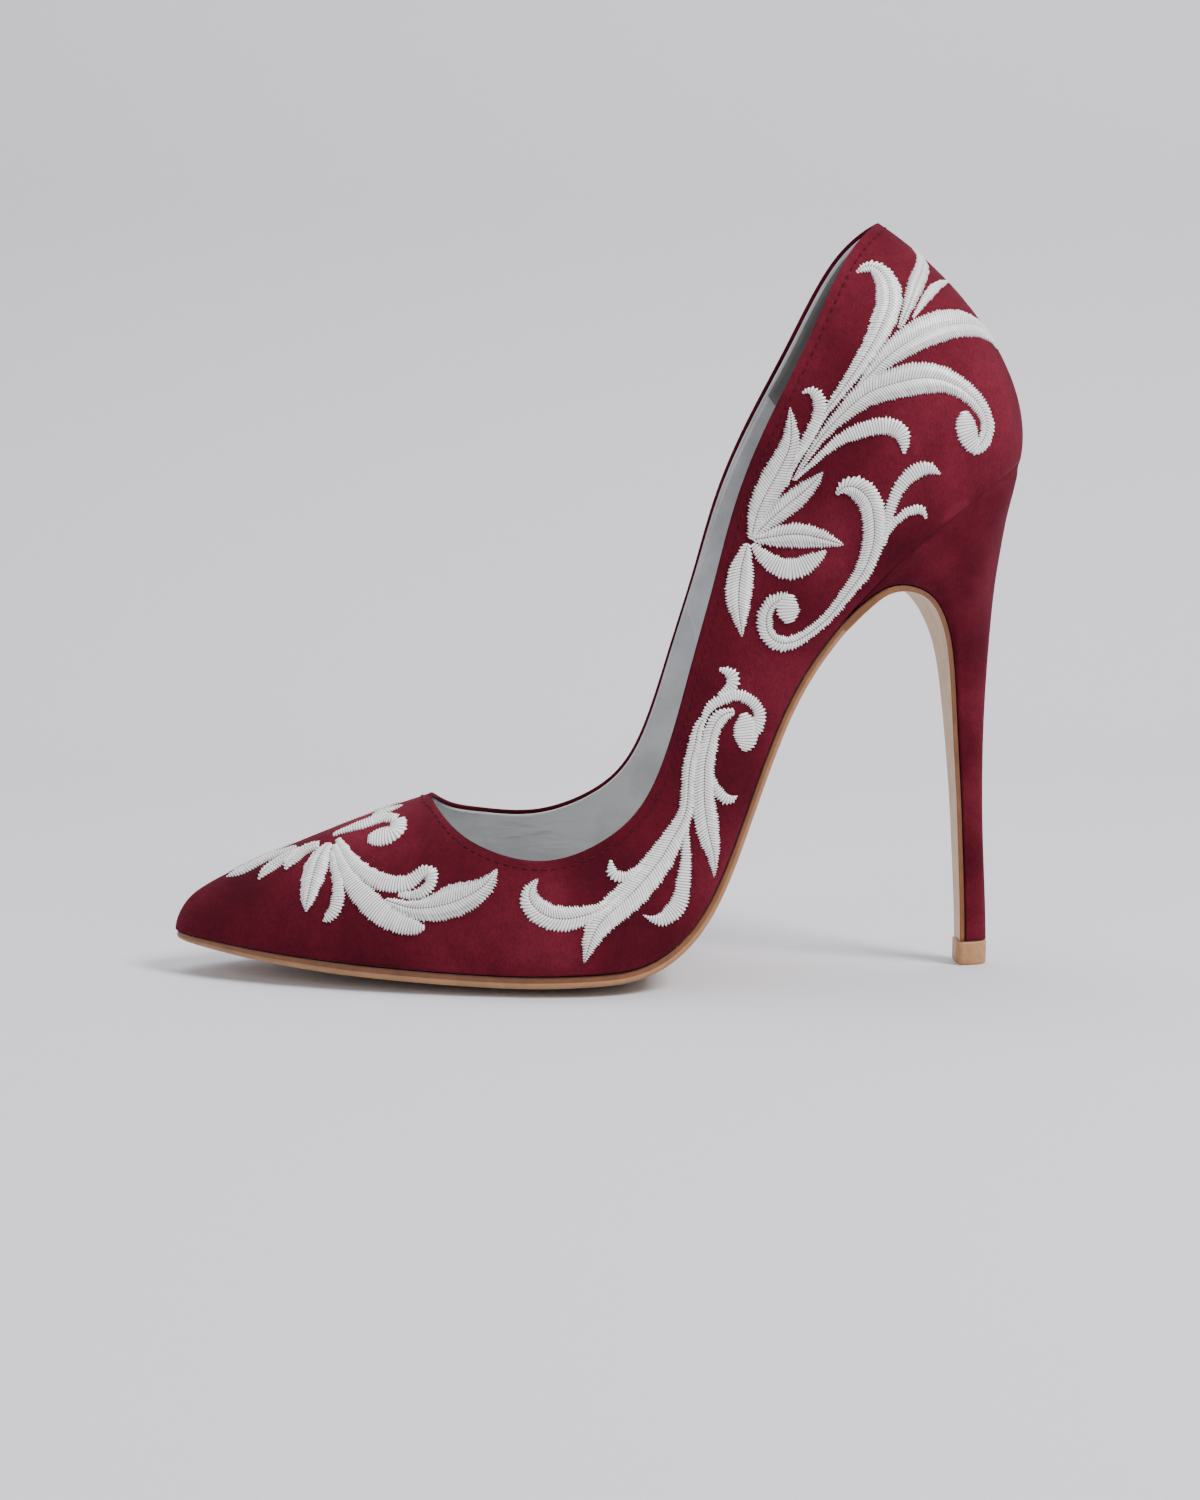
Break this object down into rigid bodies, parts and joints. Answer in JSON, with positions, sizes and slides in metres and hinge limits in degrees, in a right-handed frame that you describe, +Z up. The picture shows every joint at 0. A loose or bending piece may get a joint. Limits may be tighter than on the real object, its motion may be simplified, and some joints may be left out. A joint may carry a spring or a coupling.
{
  "type": "stiletto pump",
  "caption": "Pointed pump with a hollow suede upper, deep collar, arched leather sole and slim covered high heel.",
  "frame": {"origin": "middle of the heel tip's wearing face, on the floor", "axes": "-X towards the toe, +X towards the back of the heel, +Y towards the inner side of this left shoe, +Z up"},
  "size_m": [0.1973, 0.0715, 0.1729],
  "materials": {
    "upper_suede": "burgundy suede nap with raised white embroidery",
    "sock_leather": "smooth silver grey lining leather",
    "sole_leather": "smooth tan sole leather with a darker waxed edge",
    "heel_suede": "burgundy suede nap stretched over the heel block",
    "lift_rubber": "matt tan"
  },
  "bodies": {
    "root": {"upper": "upper_suede", "insole": "sock_leather", "outsole": "sole_leather", "heel": "heel_suede", "top_lift": "lift_rubber"}
  },
  "joints": []
}
